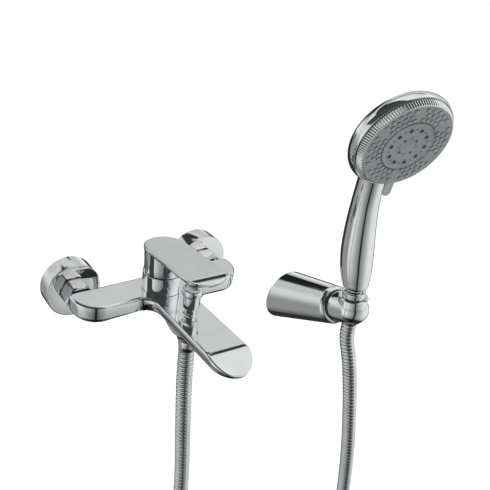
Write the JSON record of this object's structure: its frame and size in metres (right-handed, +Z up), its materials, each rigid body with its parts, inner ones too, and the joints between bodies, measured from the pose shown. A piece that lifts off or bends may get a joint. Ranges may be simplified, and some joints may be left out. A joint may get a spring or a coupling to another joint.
{
  "type": "wall mounted bath mixer with hand shower",
  "caption": "Chrome wall bath mixer: lever, push-pull diverter and flat spout, with a hose to a multi-spray hand shower resting in a swivel wall bracket.",
  "frame": {"origin": "on the wall plane, midway between the two water inlets and at their height", "axes": "+Z up, +Y into the wall, so the set stands out towards -Y; +X to the viewer's right, from the mixer to the bracket"},
  "size_m": [0.3733, 0.2073, 0.8083],
  "materials": {
    "chrome": "polished",
    "steel": "plain",
    "brass": "machined",
    "rubber": "matte",
    "white_plastic": "matte",
    "black_plastic": "satin",
    "grey_plastic": "matte",
    "spray_face": "satin",
    "tab_plastic": "satin",
    "ceramic": "ground"
  },
  "bodies": {
    "fixed": {"faucet_body": "chrome", "escutcheon_left": "chrome", "s_union_left": "brass", "union_nut_left": "chrome", "inlet_washer_left": "rubber", "inlet_connector_left": "brass", "check_valve_left": "white_plastic", "escutcheon_right": "chrome", "s_union_right": "brass", "union_nut_right": "chrome", "inlet_washer_right": "rubber", "inlet_connector_right": "brass", "check_valve_right": "white_plastic", "cartridge_seal": "rubber", "ceramic_fixed_disc": "ceramic", "cartridge_housing": "white_plastic", "retaining_nut": "brass", "trim_ring": "chrome", "diverter_bonnet": "chrome", "diverter_spring": "steel", "aerator_housing": "chrome", "aerator_insert": "grey_plastic", "aerator_seal": "rubber", "hose_union_nut": "chrome", "hose_washer": "rubber", "shower_hose": "chrome", "bracket_base": "chrome", "bracket_set_screw": "steel", "bracket_wall_plate": "steel", "wall_screw_upper": "steel", "wall_screw_lower": "steel", "swivel_ring": "black_plastic"},
    "turret": {"cartridge_turret": "black_plastic", "stem_pin": "steel"},
    "moving_disc": {"disc_carrier": "white_plastic", "ceramic_moving_disc": "ceramic"},
    "lever": {"lever_handle": "chrome", "lever_stem": "steel", "lever_set_screw": "steel", "index_plug": "grey_plastic"},
    "diverter": {"diverter_knob": "chrome", "diverter_spindle": "brass", "diverter_seal": "rubber"},
    "holder": {"swivel_holder": "chrome", "swivel_screw": "steel"},
    "hose_end": {"hose_cone_nut": "chrome", "cone_washer": "rubber"},
    "handset": {"handset_shell": "chrome", "handset_nipple": "chrome", "water_filter": "white_plastic", "spray_distributor": "white_plastic", "distributor_seal": "rubber"},
    "dial": {"spray_dial": "spray_face", "spray_centre_disc": "spray_face", "dial_screw": "steel", "dial_tab": "tab_plastic"}
  },
  "joints": [
    {"name": "handle_turn", "type": "hinge", "parent": "fixed", "child": "turret", "pos_m": [0, -0.0615, 0], "axis": [0, 0, 1], "range_deg": [-45, 45]},
    {"name": "handle_lift", "type": "hinge", "parent": "turret", "child": "lever", "pos_m": [0, -0.0615, 0.018], "axis": [-1, 0, 0], "range_deg": [0, 20]},
    {"name": "disc_slide", "type": "slide", "parent": "turret", "child": "moving_disc", "axis": [0, -1, 0], "range_m": [0, 0.002]},
    {"name": "diverter_lift", "type": "slide", "parent": "fixed", "child": "diverter", "axis": [0, 0, 1], "range_m": [0, 0.009], "stiffness_N_per_m": 150, "springref_m": -0.006, "deforming": ["diverter_spring"]},
    {"name": "holder_swivel", "type": "hinge", "parent": "fixed", "child": "holder", "pos_m": [0.223, -0.09754, -0.05219], "axis": [0, -0.9272, 0.3746], "range_deg": [-45, 30], "deforming": ["shower_hose"]},
    {"name": "handset_lift", "type": "slide", "parent": "holder", "child": "hose_end", "axis": [-0.0969, -0.0019, 0.9953], "range_m": [0, 0.02], "deforming": ["shower_hose"]},
    {"name": "handset_turn", "type": "hinge", "parent": "hose_end", "child": "handset", "pos_m": [0.223, -0.09754, -0.05219], "axis": [-0.0969, -0.0019, 0.9953], "range_deg": [-60, 60]},
    {"name": "spray_choice", "type": "hinge", "parent": "handset", "child": "dial", "pos_m": [0.1947, -0.13676, 0.15286], "axis": [0.1786, 0.9493, 0.2589], "range_deg": [-40, 40]}
  ],
  "couplings": [
    {"joint": "disc_slide", "follows": "handle_lift", "m_per_rad": 0.005}
  ]
}
